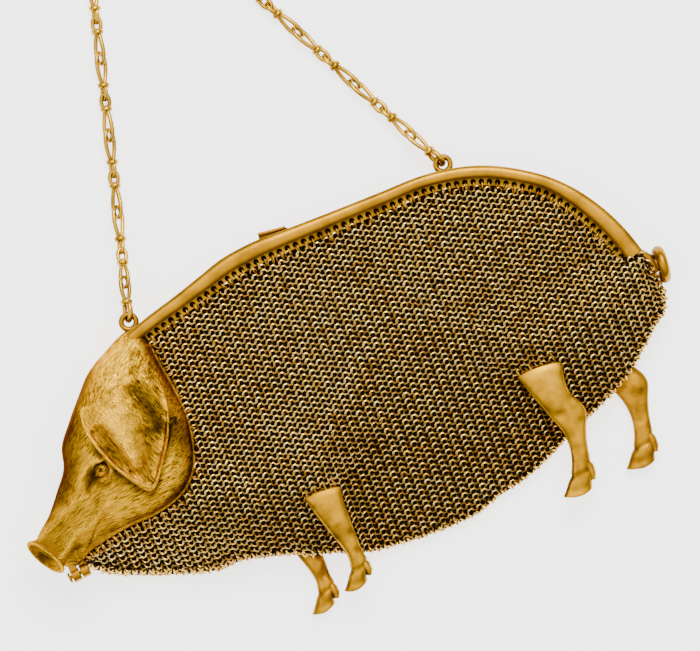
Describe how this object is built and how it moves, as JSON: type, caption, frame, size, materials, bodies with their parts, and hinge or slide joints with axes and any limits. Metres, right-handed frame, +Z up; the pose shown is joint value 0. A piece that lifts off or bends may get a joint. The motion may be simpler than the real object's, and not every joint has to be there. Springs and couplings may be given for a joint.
{
  "type": "chainmail purse",
  "caption": "Gold ring-mesh purse in the shape of a pig, with a cast head, back bar, legs, curled tail and carrying chain, lying closed on its side.",
  "frame": {"origin": "the middle of the purse's box, on the surface that it lies on", "axes": "+Z up from the surface; the pig faces -X; its back and the carrying chain lie towards +Y"},
  "size_m": [0.1614, 0.1686, 0.0198],
  "materials": {
    "cast_gold": "satin cast and chased gold",
    "polished_gold": "smooth satin gold",
    "ring_mesh": "gold ring mesh with dark gaps",
    "chain_gold": "polished gold wire"
  },
  "bodies": {
    "purse": {"near_frame": "cast_gold", "far_frame": "cast_gold", "snout_pin": "polished_gold", "tail_curl": "polished_gold", "mesh_bag": "ring_mesh", "near_front_leg": "polished_gold", "near_hind_leg": "polished_gold", "far_front_leg": "polished_gold", "far_hind_leg": "polished_gold", "chain": "chain_gold"},
    "lever": {"catch_lever": "cast_gold"}
  },
  "joints": [
    {"name": "catch_press", "type": "hinge", "parent": "purse", "child": "lever", "pos_m": [0.00623, 0.00245, 0.0062], "axis": [0.0417, 0, 0.9991], "range_deg": [0, 6], "stiffness_Nm_per_rad": 0.002}
  ]
}
